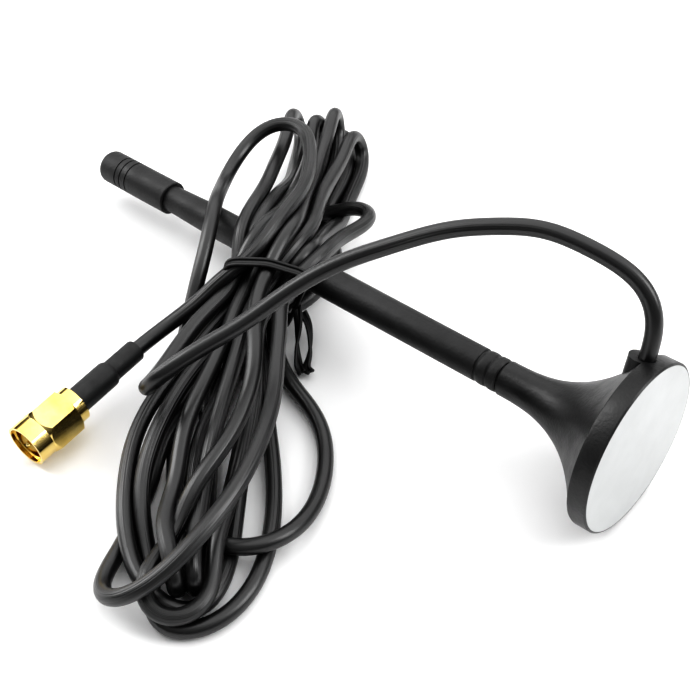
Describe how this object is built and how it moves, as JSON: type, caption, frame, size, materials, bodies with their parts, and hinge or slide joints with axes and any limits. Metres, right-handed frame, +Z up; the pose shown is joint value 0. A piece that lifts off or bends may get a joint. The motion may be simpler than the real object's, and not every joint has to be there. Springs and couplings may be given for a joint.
{
  "type": "magnetic-mount cellular whip antenna",
  "caption": "Small cellular whip antenna lying on its side, with a flared magnetic base and a thin coax lead tied in a hank over the whip and ending in a gold screw-on plug.",
  "frame": {"origin": "on the table under the middle of the antenna's own box, leaving out the lead and what is on it", "axes": "+X along the antenna from its tip towards its base, +Z up from the table it lies on; the whip dips 4.1 degrees towards its tip"},
  "size_m": [0.1258, 0.1133, 0.0413],
  "materials": {
    "shell": "satin moulded black ABS",
    "pad": "white plastic film",
    "magnet": "sintered ferrite",
    "steel": "zinc-plated steel",
    "brass": "turned brass",
    "copper": "bare copper",
    "solder": "tin solder and tinned braid",
    "seal": "black rubber",
    "tube": "matte black plastic tube",
    "former": "natural nylon",
    "lead": "semi-gloss black PVC jacket",
    "tie": "black PVC twist tie",
    "shrink": "matte black heat-shrink",
    "gold": "gold-plated brass, polished",
    "gasket": "orange silicone",
    "ptfe": "white PTFE"
  },
  "bodies": {
    "base": {"base_shell": "shell", "bottom_pad": "pad", "magnet": "magnet", "ground_plate": "steel", "feed_socket": "brass", "lead_core": "copper", "lead_braid": "solder", "solder_joint": "solder", "ground_tab": "steel", "lead_out": "lead", "lead_hank": "lead", "lead_plug_side": "lead", "twist_tie": "tie", "heat_shrink": "shrink", "crimp_ferrule": "brass", "plug_body": "gold", "snap_ring": "brass", "nut_gasket": "gasket", "dielectric": "ptfe", "centre_pin": "gold"},
    "seal": {"seal_ring": "seal"},
    "whip": {"whip_stud": "brass", "grip_collar": "tube", "whip_tube": "tube", "radiator_rod": "copper", "radiator_coil": "copper", "coil_former": "former", "tip_cap": "tube"},
    "nut": {"coupling_nut": "gold"}
  },
  "joints": [
    {"name": "seal_lift", "type": "slide", "parent": "base", "child": "seal", "axis": [-0.9974, 0, -0.0715], "range_m": [0, 0.005]},
    {"name": "whip_unscrew", "type": "hinge", "parent": "seal", "child": "whip", "pos_m": [0.03594, 0, 0.01335], "axis": [-0.9974, 0, -0.0715], "range_deg": [0, 3604]},
    {"name": "nut_spin", "type": "hinge", "parent": "base", "child": "nut", "pos_m": [-0.01915, -0.058, 0.00455], "axis": [-0.0488, 0.997, 0.0593], "continuous": true}
  ],
  "couplings": [
    {"joint": "whip_unscrew", "follows": "seal_lift", "rad_per_m": 12566}
  ]
}
